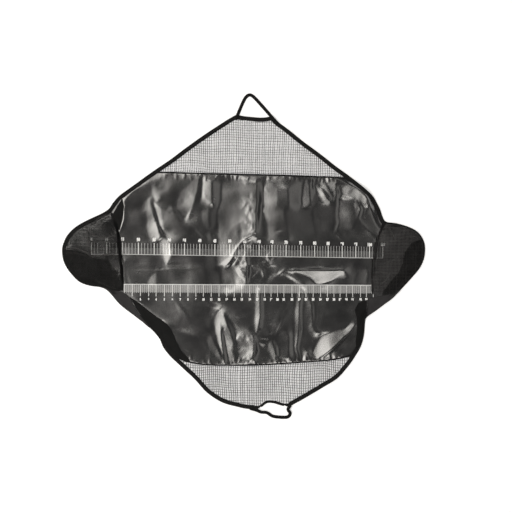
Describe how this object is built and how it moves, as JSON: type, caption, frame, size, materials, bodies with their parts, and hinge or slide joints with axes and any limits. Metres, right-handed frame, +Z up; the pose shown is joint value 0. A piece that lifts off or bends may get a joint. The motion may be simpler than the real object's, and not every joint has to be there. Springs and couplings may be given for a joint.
{
  "type": "fish weigh sling",
  "caption": "Soft sling for weighing and measuring fish: coated cloth with rulers and end pockets, mesh flaps that fold up, and loops to hang it by.",
  "frame": {"origin": "on the ground under the middle of the open sling's bounding box", "axes": "+X along the sling towards the right pocket, +Y towards the upper loop, +Z up"},
  "size_m": [1.165, 1.0383, 0.0369],
  "materials": {
    "coated_cloth": "black nylon with a glossy coating",
    "cloth_reverse": "matt grey uncoated side of the nylon",
    "flap_mesh": "open black mesh",
    "pocket_mesh": "fine black mesh",
    "binding_tape": "black woven tape",
    "loop_strap": "black webbing",
    "thread": "black sewing thread"
  },
  "bodies": {
    "trough": {"trough_panel": "coated_cloth", "left_end_edge_tape": "binding_tape", "right_end_edge_tape": "binding_tape", "left_end_pocket": "pocket_mesh", "right_end_pocket": "pocket_mesh", "left_pocket_mouth_tape": "binding_tape", "right_pocket_mouth_tape": "binding_tape", "left_pocket_gusset": "cloth_reverse", "right_pocket_gusset": "cloth_reverse"},
    "upper_wing": {"upper_wing_panel": "coated_cloth", "upper_seam_tape": "binding_tape", "upper_wing_left_edge_tape": "binding_tape", "upper_wing_right_edge_tape": "binding_tape"},
    "lower_wing": {"lower_wing_panel": "coated_cloth", "lower_seam_tape": "binding_tape", "lower_wing_left_edge_tape": "binding_tape", "lower_wing_right_edge_tape": "binding_tape"},
    "upper_flap": {"upper_mesh_flap": "flap_mesh", "upper_flap_end_tape": "binding_tape", "upper_flap_left_edge_tape": "binding_tape", "upper_flap_right_edge_tape": "binding_tape", "upper_loop_left_tack": "thread", "upper_loop_right_tack": "thread"},
    "lower_flap": {"lower_mesh_flap": "flap_mesh", "lower_flap_end_tape": "binding_tape", "lower_flap_left_edge_tape": "binding_tape", "lower_flap_right_edge_tape": "binding_tape", "lower_loop_left_tack": "thread", "lower_loop_right_tack": "thread"},
    "upper_loop": {"upper_hanging_loop": "loop_strap"},
    "lower_loop": {"lower_hanging_loop": "loop_strap"}
  },
  "joints": [
    {"name": "upper_wing_fold", "type": "hinge", "parent": "trough", "child": "upper_wing", "pos_m": [0, 0.13801, 0.0034], "axis": [1, 0, 0], "range_deg": [0, 90]},
    {"name": "lower_wing_fold", "type": "hinge", "parent": "trough", "child": "lower_wing", "pos_m": [0, -0.20082, 0.0034], "axis": [-1, 0, 0], "range_deg": [0, 90]},
    {"name": "upper_flap_fold", "type": "hinge", "parent": "upper_wing", "child": "upper_flap", "pos_m": [0, 0.25771, 0.0034], "axis": [0.9996, -0.028, 0], "range_deg": [0, 35]},
    {"name": "lower_flap_fold", "type": "hinge", "parent": "lower_wing", "child": "lower_flap", "pos_m": [0, -0.3496, 0.0034], "axis": [-1, 0, 0], "range_deg": [0, 35]},
    {"name": "upper_loop_swing", "type": "hinge", "parent": "upper_flap", "child": "upper_loop", "pos_m": [0, 0.44825, 0.0034], "axis": [0.9942, -0.1077, 0], "range_deg": [0, 150]},
    {"name": "lower_loop_swing", "type": "hinge", "parent": "lower_flap", "child": "lower_loop", "pos_m": [0, -0.50149, 0.0034], "axis": [-0.9965, -0.083, 0], "range_deg": [0, 150]}
  ]
}
